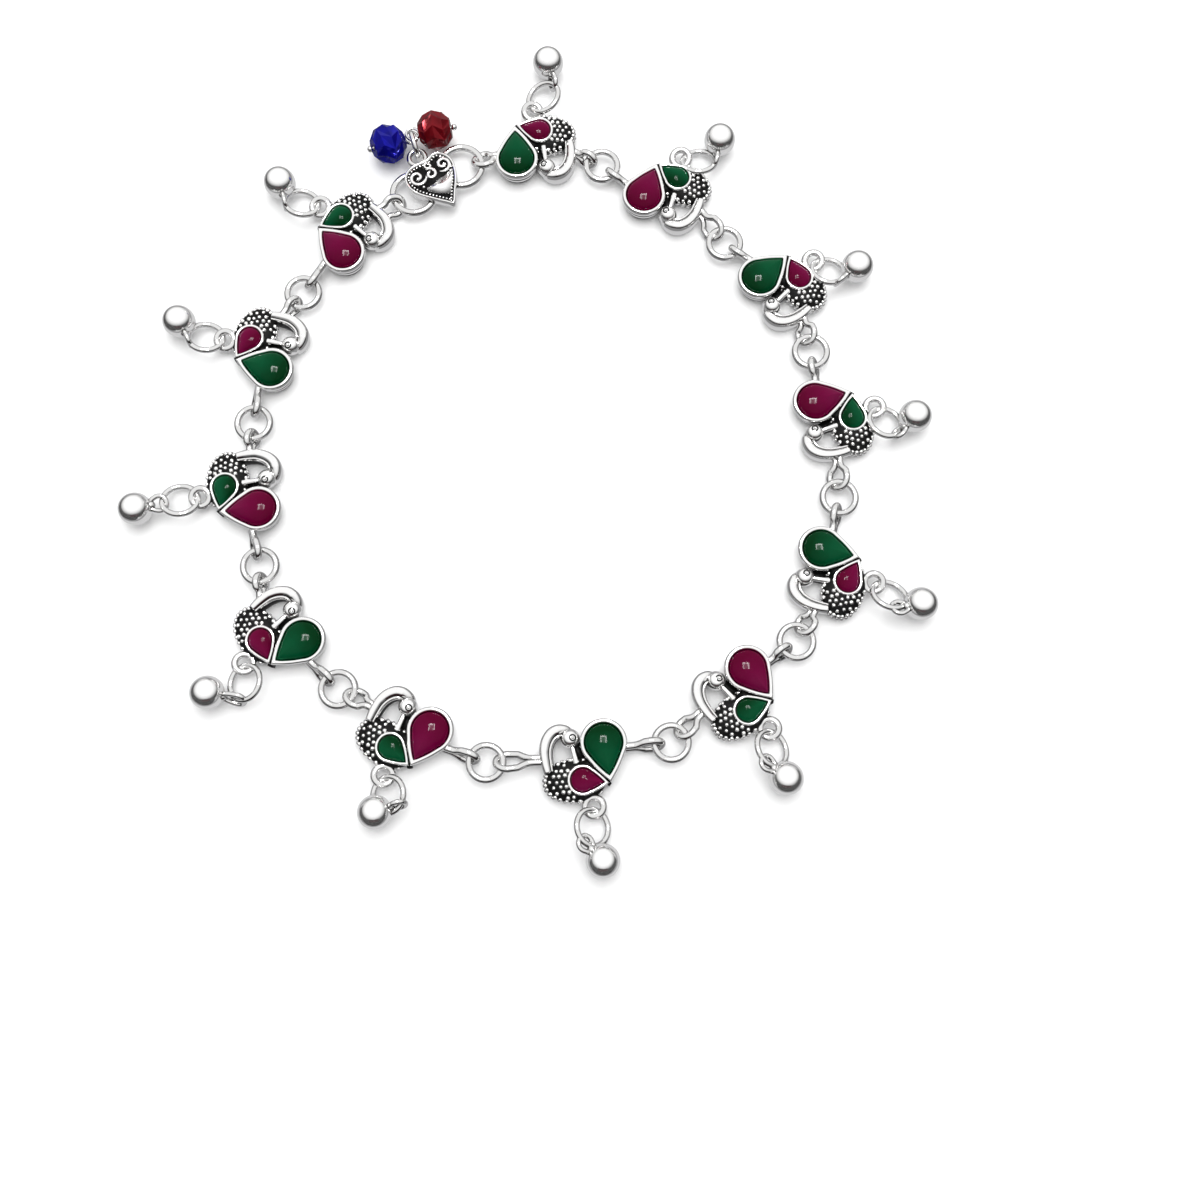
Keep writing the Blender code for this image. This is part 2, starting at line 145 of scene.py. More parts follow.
def noise_on_surface(nodes, links, scale, detail=3.0):
    place = nodes.new("ShaderNodeTexCoord")
    noise = nodes.new("ShaderNodeTexNoise")
    noise.inputs["Scale"].default_value = scale
    noise.inputs["Detail"].default_value = detail
    links.new(place.outputs["Object"], noise.inputs["Vector"])
    return noise


def ramp_of(nodes, links, source, stops):
    ramp = nodes.new("ShaderNodeValToRGB")
    elements = ramp.color_ramp.elements
    while len(elements) < len(stops):
        elements.new(0.5)
    for element, (at, colour) in zip(elements, stops):
        element.position = at
        element.color = (*colour, 1.0)
    links.new(source, ramp.inputs["Fac"])
    return ramp


def grey(v):
    return (v, v, v)


def bump_surface(nodes, links, shader, height, strength):
    """Fine relief, 0.05 mm deep at full strength."""
    bump = nodes.new("ShaderNodeBump")
    bump.inputs["Strength"].default_value = strength
    bump.inputs["Distance"].default_value = 0.05 * MM
    links.new(height, bump.inputs["Height"])
    links.new(bump.outputs["Normal"], shader.inputs["Normal"])


# %% Polished silver
OXIDE = (0.015, 0.012, 0.01)
WORN_OXIDE = (0.08, 0.074, 0.07)


def silver_finish(name, oxide_reach, dull=0.0, tone=0.86, metal=1.0):
    """Silver, dark where another surface is within oxide_reach millimetres."""
    finish, nodes, links, shader = new_finish(name)
    shader.inputs["Metallic"].default_value = metal
    closed = nodes.new("ShaderNodeAmbientOcclusion")
    closed.samples = 6
    closed.only_local = True
    closed.inputs["Distance"].default_value = oxide_reach * MM
    clean = (tone, tone * 0.995, tone * 0.988)
    colour = ramp_of(nodes, links, closed.outputs["AO"],
                     [(0.0, OXIDE), (0.48, WORN_OXIDE), (0.8, clean)])
    links.new(colour.outputs["Color"], shader.inputs["Base Color"])
    smear = noise_on_surface(nodes, links, 700.0)
    rough = ramp_of(nodes, links, smear.outputs["Fac"],
                    [(0.3, grey(0.02 + dull)), (0.7, grey(0.06 + dull))])
    links.new(rough.outputs["Color"], shader.inputs["Roughness"])
    scratch = noise_on_surface(nodes, links, 2600.0, 2.0)
    bump_surface(nodes, links, shader, scratch.outputs["Fac"], 0.05)
    return finish


cast_silver = silver_finish("cast_silver", 1.0)
# painted shade: the wire's clean metal is set darker (tone 0.7) to stand in for the dark
# reflections along thin wire
shaded_wire_silver = silver_finish("shaded_wire_silver", 0.8, tone=0.7)
ball_silver = silver_finish("ball_silver", 0.12, dull=0.04, tone=0.93, metal=0.93)
granule_silver = silver_finish("granule_silver", 0.16, dull=0.12, tone=0.93)
satin_silver = silver_finish("satin_silver", 0.3, dull=0.22, tone=0.93)


# %% [markdown]
# Oxidised ground: the sunk field behind the granules was dipped and left black.
# It is rough and almost black, and breaks to grey where it was rubbed. A fine
# noise drives its colour, its roughness and its grain together.

# %% Black oxide
def oxide_finish():
    finish, nodes, links, shader = new_finish("black_oxide")
    speckle = noise_on_surface(nodes, links, 1800.0, 4.0)
    colour = ramp_of(nodes, links, speckle.outputs["Fac"],
                     [(0.35, grey(0.003)), (0.62, grey(0.009)), (0.85, (0.05, 0.05, 0.048))])
    links.new(colour.outputs["Color"], shader.inputs["Base Color"])
    shader.inputs["Specular IOR Level"].default_value = 0.05
    rough = ramp_of(nodes, links, speckle.outputs["Fac"],
                    [(0.3, grey(0.42)), (0.8, grey(0.6))])
    links.new(rough.outputs["Color"], shader.inputs["Roughness"])
    bump_surface(nodes, links, shader, speckle.outputs["Fac"], 0.4)
    return finish


black_oxide = oxide_finish()


# %% [markdown]
# The cabochons are glass with a foiled back. Light comes back through them, so
# they glow lighter toward the tip and stay deep at the round end. Real glass
# would need its light traced to the foil and back, so the glow is drawn instead,
# as a gradient along the stone with a faint cloud in it, under a weak gloss.

# %% Cabochon glass
def cabochon_finish(name, deep, middle, glow):
    finish, nodes, links, shader = new_finish(name)
    place = nodes.new("ShaderNodeTexCoord")
    split = nodes.new("ShaderNodeSeparateXYZ")
    links.new(place.outputs["Generated"], split.inputs["Vector"])
    cloud = noise_on_surface(nodes, links, 420.0, 2.0)
    along = nodes.new("ShaderNodeMath")
    along.operation = "MULTIPLY_ADD"
    along.inputs[1].default_value = 0.35
    links.new(cloud.outputs["Fac"], along.inputs[0])
    links.new(split.outputs["Y"], along.inputs[2])
    colour = ramp_of(nodes, links, along.outputs["Value"],
                     [(0.2, glow), (0.6, middle), (1.0, deep)])
    links.new(colour.outputs["Color"], shader.inputs["Base Color"])
    rough = ramp_of(nodes, links, cloud.outputs["Fac"],
                    [(0.3, grey(0.06)), (0.8, grey(0.1))])
    links.new(rough.outputs["Color"], shader.inputs["Roughness"])
    shader.inputs["IOR"].default_value = 1.5
    shader.inputs["Specular IOR Level"].default_value = 0.045
    return finish


emerald = cabochon_finish("emerald_glass", (0.0, 0.026, 0.006), (0.001, 0.056, 0.02),
                          (0.003, 0.07, 0.026))
ruby = cabochon_finish("ruby_glass", (0.085, 0.0, 0.018), (0.115, 0.001, 0.03),
                       (0.13, 0.006, 0.042))


# %% [markdown]
# The two beads are cut crystal. On the real ones light goes in, turns back from
# the far facets and comes out tinted. A partly metallic finish tints what each
# facet sends back in the same way, and it stays free of noise in a short render.

# %% Crystal
def crystal_finish(name, body, edge):
    finish, nodes, links, shader = new_finish(name)
    cloud = noise_on_surface(nodes, links, 500.0, 2.0)
    colour = ramp_of(nodes, links, cloud.outputs["Fac"], [(0.3, body), (0.75, edge)])
    links.new(colour.outputs["Color"], shader.inputs["Base Color"])
    rough = ramp_of(nodes, links, cloud.outputs["Fac"],
                    [(0.3, grey(0.02)), (0.8, grey(0.05))])
    links.new(rough.outputs["Color"], shader.inputs["Roughness"])
    shader.inputs["Metallic"].default_value = 0.4
    shader.inputs["Specular IOR Level"].default_value = 0.15
    return finish


cobalt = crystal_finish("cobalt_crystal", (0.003, 0.003, 0.14), (0.006, 0.006, 0.34))
garnet = crystal_finish("garnet_crystal", (0.08, 0.002, 0.005), (0.22, 0.006, 0.012))
print("finishes:", [finish.name for finish in bpy.data.materials])


# %% [markdown]
# Almost every form here is a skin drawn over a row of closed loops: a bezel, a dome, a wire.
# One helper makes that skin, another gathers skins into a piece that rides on the anklet in
# place of the solid it stands for, which it hides.

# %% Skins and pieces
def skin(loops, closed=False):
    """Points and faces over loops of equal length, capped unless closed."""
    loops = np.asarray(loops, float)
    rows, count = loops.shape[:2]
    spans = rows if closed else rows - 1
    faces = []
    for i in range(spans):
        a, b = i * count, (i + 1) % rows * count
        faces += [(a + j, a + (j + 1) % count, b + (j + 1) % count, b + j)
                  for j in range(count)]
    if not closed:
        faces.append(tuple(range(count))[::-1])
        faces.append(tuple(range((rows - 1) * count, rows * count)))
    return loops.reshape(-1, 3), faces


def make_piece(name, parts, finishes, nodes, matrix=None, flat=False):
    """A mesh object from (skin, finish) pairs: one finish number, or one for each face."""
    points, faces, marks = [], [], []
    for (verts, polygons), mark in parts:
        start = sum(len(p) for p in points)
        points.append(np.asarray(verts, float))
        faces += [tuple(start + k for k in f) for f in polygons]
        marks += mark if isinstance(mark, list) else [mark] * len(polygons)
    mesh = bpy.data.meshes.new(name)
    mesh.from_pydata((np.concatenate(points) * MM).tolist(), [], faces)
    for finish in finishes:
        mesh.materials.append(finish)
    mesh.polygons.foreach_set("material_index", marks)
    mesh.polygons.foreach_set("use_smooth", [not flat] * len(faces))
    mesh.update()
    return place_piece(name, mesh, nodes, matrix)


def place_piece(name, mesh, nodes, matrix=None):
    piece = bpy.data.objects.new(name, mesh)
    bpy.context.scene.collection.objects.link(piece)
    if matrix is not None:
        piece.matrix_world = matrix
    bpy.context.view_layer.update()
    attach(piece, "root")
    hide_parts(*nodes)
    return piece


def moved(parts):
    """The same parts after the small move of the whole anklet."""
    return [((verts + MOVE, faces), mark) for (verts, faces), mark in parts]


def turn_normals_out(mesh):
    shape = bmesh.new()
    shape.from_mesh(mesh)
    bmesh.ops.recalc_face_normals(shape, faces=shape.faces)
    shape.to_mesh(mesh)
    shape.free()


# %% [markdown]
# Wire is a circle carried along a path. The path is first drawn as a smooth
# curve through a few chosen points, then the circle is carried along it without
# twisting, and may swell or thin on the way.

# %% Wire
def even_turn(count, shift=0.0):
    """The angles of count even steps round a circle."""
    return (np.arange(count) + shift) * 2 * math.pi / count


def smooth_path(points, steps=8, closed=False):
    """A curve through the points, with steps between each pair."""
    p = np.asarray(points, float)
    n = len(p)
    out = []
    for i in range(n if closed else n - 1):
        if closed:
            a, b, c, d = p[i - 1], p[i], p[(i + 1) % n], p[(i + 2) % n]
        else:
            a, b, c, d = p[max(i - 1, 0)], p[i], p[i + 1], p[min(i + 2, n - 1)]
        for t in np.arange(steps) / steps:
            out.append(0.5 * (2 * b + (c - a) * t + (2 * a - 5 * b + 4 * c - d) * t**2
                              + (3 * b - a - 3 * c + d) * t**3))
    if not closed:
        out.append(p[-1])
    return np.array(out)


def wire(path, radius, sides=14, closed=False):
    """Round wire along a path; radius is a number or one for each point."""
    path = np.asarray(path, float)
    n = len(path)
    radius = np.broadcast_to(np.asarray(radius, float), (n,))
    if closed:
        tangents = np.roll(path, -1, 0) - np.roll(path, 1, 0)
    else:
        tangents = np.gradient(path, axis=0)
    tangents /= np.linalg.norm(tangents, axis=1)[:, None]
    side = np.cross(tangents[0], UP if abs(tangents[0][2]) < 0.9 else np.array((1.0, 0, 0)))
    side /= np.linalg.norm(side)
    sides_at = [side]
    for i in range(1, n):
        s = sides_at[-1] - tangents[i] * np.dot(sides_at[-1], tangents[i])
        sides_at.append(s / np.linalg.norm(s))
    loops = []
    for i in range(n):
        across = np.cross(tangents[i], sides_at[i])
        loops.append([path[i] + radius[i] * (math.cos(a) * sides_at[i] + math.sin(a) * across)
                      for a in even_turn(sides)])
    return skin(loops, closed)


def ring(centre, along, across, radius, thickness, count=56, sides=16):
    """A round ring of wire in the plane of two unit vectors."""
    centre, along, across = (np.asarray(v, float) for v in (centre, along, across))
    path = [centre + radius * (math.cos(a) * along + math.sin(a) * across)
            for a in even_turn(count)]
    return wire(path, thickness, sides, closed=True)


def globe(centre, radius, count=24, rows=12):
    """A ball whose poles are closed with small caps."""
    x, y, z = centre
    tilts = np.linspace(-math.pi / 2 + 0.02, math.pi / 2 - 0.02, rows)
    loops = [[(x + radius * math.cos(t) * math.cos(a), y + radius * math.cos(t) * math.sin(a),
               z + radius * math.sin(t)) for a in even_turn(count)] for t in tilts]
    return skin(loops)


# %% [markdown]
# A cabochon, its seat and its rim all share one outline: a round end that runs
# out into a tip. The sides swell a little, as the cast ones do.

# %% Teardrop outline
def even(points, count):
    """The same closed outline with count evenly spaced points."""
    p = np.vstack([points, points[:1]])
    run = np.concatenate([[0], np.cumsum(np.linalg.norm(np.diff(p, axis=0), axis=1))])
    at = np.linspace(0, run[-1], count, endpoint=False)
    return np.stack([np.interp(at, run, p[:, k]) for k in range(2)], 1)


def teardrop(centre, radius, reach, tip, count, swell=0.05):
    tangent = math.acos(radius / reach)
    turn = math.radians(tip)
    arc = np.linspace(turn + tangent, turn + 2 * math.pi - tangent, 90)
    bow = radius * np.stack([np.cos(arc), np.sin(arc)], 1)
    point = reach * np.array((math.cos(turn), math.sin(turn)))
    aside = np.array((-math.sin(turn), math.cos(turn))) * radius * swell
    t = np.linspace(0, 1, 24, endpoint=False)[:, None]
    first = point + (bow[0] - point) * t + aside * np.sin(math.pi * t)
    last = bow[-1] + (point - bow[-1]) * t - aside * np.sin(math.pi * t)
    return even(np.concatenate([first, bow[:-1], last]) + np.array(centre), count)


def lift(outline, z):
    return np.column_stack([outline, np.full(len(outline), z)])


# the seats of the large and the small stone, in the plaque's own millimetres
BIG = dict(centre=(-0.04, 0.45), radius=2.55, reach=4.45, tip=-85.0)
BIG_RIM = 0.65
SMALL = dict(centre=(-3.31, -4.34), radius=1.6, reach=2.9, tip=-10.8)
SMALL_RIM = 0.5
RIM_HEIGHT = 2.7


def drop_outline(kind, grow, count):
    """The outline of a stone's seat, grown outward by grow millimetres."""
    return teardrop(kind["centre"], kind["radius"] + grow, kind["reach"] + 1.5 * grow,
                    kind["tip"], count)


# %% [markdown]
# A bezel is the collar of metal that holds a stone. Its wall stands up from the
# back, a groove runs round it, its lip is rounded over by the burnisher, and
# inside it drops to the seat. It is drawn as one profile carried round the
# stone's outline, and the oxide is set face by face where polishing can't reach.

# %% Bezels
BRIGHT, BLACK, BALL = 0, 1, 2  # the finishes of a plaque


def bezel(kind, rim, top, seat, count):
    outer, inner = drop_outline(kind, rim, count), drop_outline(kind, 0.0, count)
    # share of the way in from the outer outline, height, finish above it
    profile = [(0.92, 0.0, BLACK), (0.82, 0.12, BLACK), (0.72, 0.5, BRIGHT),
               (0.58, 0.6, BRIGHT), (0.3, 1.3, BLACK), (0.42, 1.4, BLACK),
               (0.36, 1.62, BRIGHT), (0.1, 1.74, BRIGHT), (0.0, 2.0, BRIGHT),
               (-0.02, top - 0.45, BRIGHT), (0.04, top - 0.24, BRIGHT),
               (0.14, top - 0.09, BRIGHT), (0.32, top, BRIGHT), (0.58, top, BRIGHT),
               (0.8, top - 0.06, BRIGHT), (0.93, top - 0.18, BRIGHT),
               (0.99, top - 0.32, BLACK), (1.0, seat, BLACK)]
    shape = skin([lift(outer + (inner - outer) * t, z) for t, z, _ in profile])
    marks = [mark for *_, mark in profile[:-1] for _ in range(count)]
    return shape, marks + [BLACK, BLACK]


big_bezel = bezel(BIG, BIG_RIM, RIM_HEIGHT, 1.1, 96)
small_bezel = bezel(SMALL, SMALL_RIM, RIM_HEIGHT - 0.05, 1.4, 72)
print("bezel faces", len(big_bezel[1]), len(small_bezel[1]))

# %% [markdown]
# A cabochon is a stone polished to a smooth dome, with no facets. Its outline is
# drawn in loop by loop toward a point a little way along the stone, and each loop
# rises by a sine, which gives the dome its round shoulder.


# %% Cabochons
def cabochon(kind, gap, seat, girdle, crown, count, rows=14):
    outline = drop_outline(kind, -gap, count)
    turn = math.radians(kind["tip"])
    toward_tip = np.array((math.cos(turn), math.sin(turn)))
    apex = np.array(kind["centre"]) + 0.12 * kind["reach"] * toward_tip
    loops = [lift(outline, seat), lift(outline, girdle)]
    for k in range(1, rows + 1):
        a = k / rows * math.pi / 2 * 0.985
        loops.append(lift(apex + (outline - apex) * math.cos(a),
                          girdle + (crown - girdle) * math.sin(a)))
    return skin(loops)


large_cabochon = cabochon(BIG, 0.07, 1.3, RIM_HEIGHT - 0.36, 3.5, 96)
small_cabochon = cabochon(SMALL, 0.06, 1.6, RIM_HEIGHT - 0.38, 3.1, 72)
print("cabochon faces", len(large_cabochon[1]), len(small_cabochon[1]))

# %% [markdown]
# The bird's body is a low blackened dome, an oval profile stacked in loops. Two
# small black floors close the casting under the neck and between the bezels.

# %% Body dome
BODY_CENTRE = np.array((-4.3, -4.3))
BODY_AXES = np.array((4.3, 2.92))
# share of the axes, height
BODY_PROFILE = [(0.82, 0.0), (0.87, 0.15), (0.97, 0.9), (0.99, 1.3), (0.96, 1.55),
                (0.9, 1.76), (0.78, 1.98), (0.58, 2.2), (0.34, 2.32), (0.1, 2.35)]


def body_loop(scale, z, count=64):
    a = even_turn(count)
    return lift(BODY_CENTRE + BODY_AXES * scale * np.stack([np.cos(a), np.sin(a)], 1), z)


body_dome = skin([body_loop(s, z) for s, z in BODY_PROFILE])


def prism(outline, low, high):
    outline = np.array(outline, float)
    return skin([lift(outline, low), lift(outline, high)])


web = prism([(-4.6, 1.3), (-3.3, 1.25), (-2.7, -1.2), (-2.2, -2.6), (-4.2, -2.0),
             (-4.5, 0.2)], 0.15, 1.15)
groove = prism([(-3.9, -1.9), (-2.3, -1.6), (0.55, -5.1), (0.2, -5.45), (-2.2, -3.2)],
               0.1, 2.0)
print("body dome faces", len(body_dome[1]))

# %% [markdown]
# Granulation is rows of tiny silver balls fused to a ground. They lie in a loose
# honeycomb on top and in three rows down the wall. One is left out wherever a
# bezel, the hook, the neck or the eyelet stands, so the hook's path comes first.

# %% Granules
HOOK_PATH = [(-7.7, -2.9, 0), (-7.88, -1.6, 0), (-7.9, -0.1, 0), (-7.55, 1.15, 0),
             (-6.85, 2.08, 0), (-5.95, 2.45, 0), (-5.05, 2.38, 0), (-4.35, 2.0, 0)]
GRANULE = 0.295
SPACING = 0.84


def inside(outline, x, y):
    hit = False
    for (x1, y1), (x2, y2) in zip(outline, np.roll(outline, -1, 0)):
        if (y1 > y) != (y2 > y) and x < (x2 - x1) * (y - y1) / (y2 - y1) + x1:
            hit = not hit
    return hit


def off_middle(x, y):
    """How far out on the body a point is: 1 is on its edge."""
    return np.linalg.norm((np.array((x, y)) - BODY_CENTRE) / BODY_AXES)


def dome_height(x, y):
    """Height of the body dome over a point, from the dome's own profile."""
    scales, heights = zip(*BODY_PROFILE[:3:-1])
    return np.interp(off_middle(x, y), scales, heights)


def rows_of_granules(dice):
    spots = []
    for row in range(-5, 6):
        for column in range(-6, 7):
            x = BODY_CENTRE[0] + (column + 0.5 * (row % 2)) * SPACING + dice.uniform(-0.1, 0.1)
            y = BODY_CENTRE[1] + row * SPACING * 0.87 + dice.uniform(-0.1, 0.1)
            if off_middle(x, y) < 0.87:
                spots.append((x, y, dome_height(x, y) + 0.04))
    for shift, scale, z in ((0.5, 0.95, 1.66), (0.0, 0.99, 1.1), (0.5, 0.94, 0.5)):
        loop = body_loop(scale, z, 240)
        edge = np.linalg.norm(np.diff(loop, axis=0), axis=1).sum()
        count = round(edge / (SPACING * 0.92))
        spots += [tuple(loop[int((k + shift) / count * 240) % 240]) for k in range(count)]
    return spots


# %% Leave out what is in the way
def granule_places():
    dice = random.Random(7)
    spots = rows_of_granules(dice)
    big = drop_outline(BIG, BIG_RIM + 0.2, 60)
    small = drop_outline(SMALL, SMALL_RIM + 0.24, 60)
    hook = smooth_path(HOOK_PATH, 6)
    places = []
    for x, y, z in spots:
        near_hook = np.linalg.norm(hook[:, :2] - (x, y), axis=1).min() < 0.95 and y > -2.7
        near_neck = abs(x + 4.05) < 0.6 and y > -2.2
        near_eyelet = abs(x + 2.1) < 1.5 and y < -6.2 and z < 1.7
        in_bezel = inside(big, x, y) or inside(small, x, y)
        if not (in_bezel or near_hook or near_neck or near_eyelet):
            places.append((x, y, z, GRANULE * dice.uniform(0.86, 1.1)))
    return places


granules = [(globe((x, y, z), r, 12, 8), 0) for x, y, z, r in granule_places()]
print(len(granules), "granules on a plaque")

# %% [markdown]
# The bird's crest sweeps up from the body as a hook that thins toward the head.
# Its section stands on the table: full and round outside, with a dark line along
# the crest and a black wall inside. A list gives the section and the finish of
# each of its faces, and the section is carried along the path as it swells.


# %% Hook
HOOK_WIDTHS = [1.5, 1.8, 1.95, 2.1, 2.15, 2.1, 1.8, 1.3]
HOOK_HEIGHTS_AT, HOOK_HEIGHTS = [0, 0.3, 0.7, 0.85, 1], [2.35, 2.75, 2.7, 2.2, 1.5]
# share of half the width, from the outside in, share of the height, finish
HOOK_SECTION = [
    (-0.7, 0.02, BRIGHT), (-0.76, 0.12, BRIGHT), (-0.9, 0.32, BRIGHT), (-0.98, 0.55, BRIGHT),
    (-0.97, 0.72, BRIGHT), (-0.88, 0.87, BRIGHT), (-0.7, 0.965, BRIGHT), (-0.42, 1.0, BRIGHT),
    (-0.1, 0.99, BRIGHT), (0.16, 0.95, BRIGHT), (0.29, 0.89, BLACK), (0.44, 0.87, BRIGHT),
    (0.54, 0.92, BRIGHT), (0.7, 0.89, BRIGHT), (0.84, 0.74, BLACK), (0.93, 0.5, BLACK),
    (0.9, 0.3, BLACK), (0.8, 0.02, BLACK),
]


def hook_skin():
    path = smooth_path(HOOK_PATH, 7)[:, :2]
    along = np.linspace(0, 1, len(path))
    widths = np.interp(along, np.linspace(0, 1, len(HOOK_WIDTHS)), HOOK_WIDTHS)
    heights = np.interp(along, HOOK_HEIGHTS_AT, HOOK_HEIGHTS)
    way = np.gradient(path, axis=0)
    way /= np.linalg.norm(way, axis=1)[:, None]
    side = np.stack([way[:, 1], -way[:, 0]], 1)
    loops = [[(*(p + s * w / 2 * u), h * v) for u, v, _ in HOOK_SECTION]
             for p, s, w, h in zip(path, side, widths, heights)]
    marks = [mark for *_, mark in HOOK_SECTION] * (len(path) - 1)
    return skin(loops), marks + [BLACK, BRIGHT]


hook = hook_skin()
print("hook faces", len(hook[1]))

# %% [markdown]
# The head is a polished ball with a ringed eye, and the neck is a thin wire that
# runs down to the body under a small collar. Balls, rings and wires are enough.

# %% Head, eye and neck
EYE = (-4.13, 1.42)
head = globe((-4.5, 1.4, 1.58), 1.34, 36, 20)
eye_ring = ring((*EYE, 2.81), (0.96, 0, -0.28), (0, 1, 0), 0.4, 0.1, 24, 8)
eye_dot = globe((*EYE, 2.8), 0.2, 12, 8)
neck_path = smooth_path([(-4.45, 0.85, 1.6), (-4.28, 0.0, 1.75), (-4.12, -0.95, 1.8),
                         (-3.95, -2.0, 1.7)], 6)
neck_radius = np.interp(np.linspace(0, 1, len(neck_path)), [0, 0.2, 0.6, 1],
                        [0.46, 0.36, 0.38, 0.5])
neck = wire(neck_path, neck_radius, 16)
collar = ring((-4.36, 0.42, 1.68), (1, 0, 0), (0, 0, 1), 0.34, 0.13, 24, 10)
print("neck points", len(neck_path))

# %% [markdown]
# All twelve plaques come from one mould, and so do these: the mesh is made once
# and shared by twelve objects, each with its own place on the route.

# %% Cast the plaque once and lay it twelve times
plaque_parts = [big_bezel, small_bezel, hook, (head, BALL), (neck, BRIGHT), (collar, BRIGHT),
                (eye_ring, BLACK), (eye_dot, BALL), (body_dome, BLACK), (web, BLACK),
                (groove, BLACK)]


def setting(i):
    return f"setting_{i + 1:02d}"


first = make_piece("plaque_01", plaque_parts, [cast_silver, black_oxide, ball_silver],
                   [setting(0)], plaque_matrix(0))
grain = make_piece("granules_01", granules, [granule_silver],
                   [setting(0)], plaque_matrix(0))
turn_normals_out(first.data)
for i in range(1, PLAQUES):
    place_piece(f"plaque_{i + 1:02d}", first.data, [setting(i)], plaque_matrix(i))
    place_piece(f"granules_{i + 1:02d}", grain.data, [setting(i)], plaque_matrix(i))
print("a plaque has", len(first.data.polygons), "faces")

# %% [markdown]
# Green and ruby change places from plaque to plaque: where the large stone is
# green, the small one is ruby. Each stone is its own mesh, because its glow runs
# along its own box.

# %% Set the stones
for i in range(PLAQUES):
    green_first = i % 2 == 0
    large = (emerald, "emerald_glass") if green_first else (ruby, "ruby_glass")
    small = (ruby, "ruby_glass") if green_first else (emerald, "emerald_glass")
    make_piece(f"large_stone_{i + 1:02d}", [(large_cabochon, 0)], [large[0]],
               [f"stone_{i + 1:02d}"], plaque_matrix(i))
    make_piece(f"small_stone_{i + 1:02d}", [(small_cabochon, 0)], [small[0]],
               [setting(i)], plaque_matrix(i))
print(2 * PLAQUES, "stones set")

# %% [markdown]
# The eyelets at the ends are upright loops cast with the plaque. Each reaches
# toward its ring and leans, so both of its strands show from above, and the long
# ones and those at the clasp lean most. The eyelet for the drop lies nearly flat.

# %% Sizes of rings and eyelets
RING_RADIUS = 2.32
RING_WIRE = 0.45
HOOK_LOOP_RADIUS = 3.12
EYELET_MIDDLE = 1.4
BEZEL_END = (3.0, -0.5)
HOOK_END = (-8.75, -1.1)
DROP_EYELET = (-2.1, -8.0, 1.3)
# half the height of an end eyelet, its lean in degrees, its wire
AT_BEZEL, AT_BEZEL_CLASP = (1.0, 28, 0.51), (1.4, 62, 0.51)
AT_HOOK, AT_HOOK_LONG, AT_HOOK_CLASP = (1.0, 28, 0.5), (1.35, 50, 0.47), (1.3, 48, 0.5)
LONG_REACH = 4.6


# %% One eyelet of each kind
def end_eyelet(start, target, depth, ring_radius, half, lean, thick):
    """A leaning loop from a plaque's end, just past the wire of the ring it holds."""
    start, target = np.array((*start[:2], 0.0)), np.array((*target, 0.0))
    way = (target - start) / np.linalg.norm(target - start)
    reach = np.linalg.norm(target - start) - ring_radius + RING_WIRE + thick + 0.08
    lean = math.radians(lean)
    aside = np.array((-way[1], way[0], 0.0))
    up = aside * math.sin(lean) + UP * math.cos(lean)
    middle = start + UP * EYELET_MIDDLE
    turn = min(half * 1.25, 0.55 * (reach + depth))
    bend = [(reach - turn + turn * math.sin(a), half * math.cos(a))
            for a in np.linspace(0, math.pi, 19)]
    straight = reach - turn
    foot = 0.32 if straight > 1.6 else 0.7
    line = smooth_path([(-depth, half * foot, 0), (0.35 * straight, half * foot, 0),
                        (0.7 * straight, half * 0.9, 0)], 4)[:, :2].tolist()
    line = line + bend + [(s, -t) for s, t in line[::-1]]
    return wire([middle + way * s + up * t for s, t in line], thick, 16)


def drop_eyelet(i):
    """The flat loop for the drop, tipped toward the way the jump ring rolls."""
    azimuth, roll = DROPS[i][:2]
    heading = math.radians(azimuth + ROUTE[i][2])
    tip = math.radians(math.copysign(12, -roll))
    ahead = np.array((math.cos(heading), math.sin(heading), 0.0))
    left = np.array((-ahead[1], ahead[0], 0.0))
    return ring(on_table(i, *DROP_EYELET), ahead, left * math.cos(tip) + UP * math.sin(tip),
                1.26, 0.49)


# %% Eyelets of every plaque
def eyelet_parts(i):
    before = RING_CENTRES[i - 1] if i else HOOK_LOOPS[0]
    after = RING_CENTRES[i] if i < LAST else HOOK_LOOPS[1]
    radius_before = RING_RADIUS if i else HOOK_LOOP_RADIUS
    radius_after = RING_RADIUS if i < LAST else HOOK_LOOP_RADIUS
    stretch = np.linalg.norm(on_table(i, *HOOK_END)[:2] - after)
    at_hook = AT_HOOK_CLASP if i == LAST else AT_HOOK_LONG if stretch > LONG_REACH else AT_HOOK
    at_bezel = AT_BEZEL if i else AT_BEZEL_CLASP
    print("plaque", i + 1, "hook eyelet spans", round(float(stretch), 1), "mm")
    return [(end_eyelet(on_table(i, *BEZEL_END), before, 0.4, radius_before, *at_bezel), 0),
            (end_eyelet(on_table(i, *HOOK_END), after, 0.7, radius_after, *at_hook), 0),
            (drop_eyelet(i), 0)]


for i in range(PLAQUES):
    make_piece(f"eyelets_{i + 1:02d}", moved(eyelet_parts(i)), [shaded_wire_silver],
               [setting(i)])

# %% [markdown]
# A link ring is plain round wire, soldered shut. It lies flat between two plaques
# and passes through an end eyelet of each.

# %% Link rings
for i, (x, y) in enumerate(RING_CENTRES):
    solid = ring(np.array((x, y, EYELET_MIDDLE)) + MOVE, (1, 0, 0), (0, 1, 0),
                 RING_RADIUS, RING_WIRE)
    make_piece(f"link_ring_{i + 1:02d}", [(solid, 0)], [shaded_wire_silver],
               [f"link_{i + 1:02d}"])
print(len(RING_CENTRES), "link rings of", RING_RADIUS, "mm radius")

# %% [markdown]
# Each drop is a thin jump ring through the flat eyelet, and a polished ball that
# hangs from it by a soldered loop. They lie as they fell, so every one is turned
# its own way.

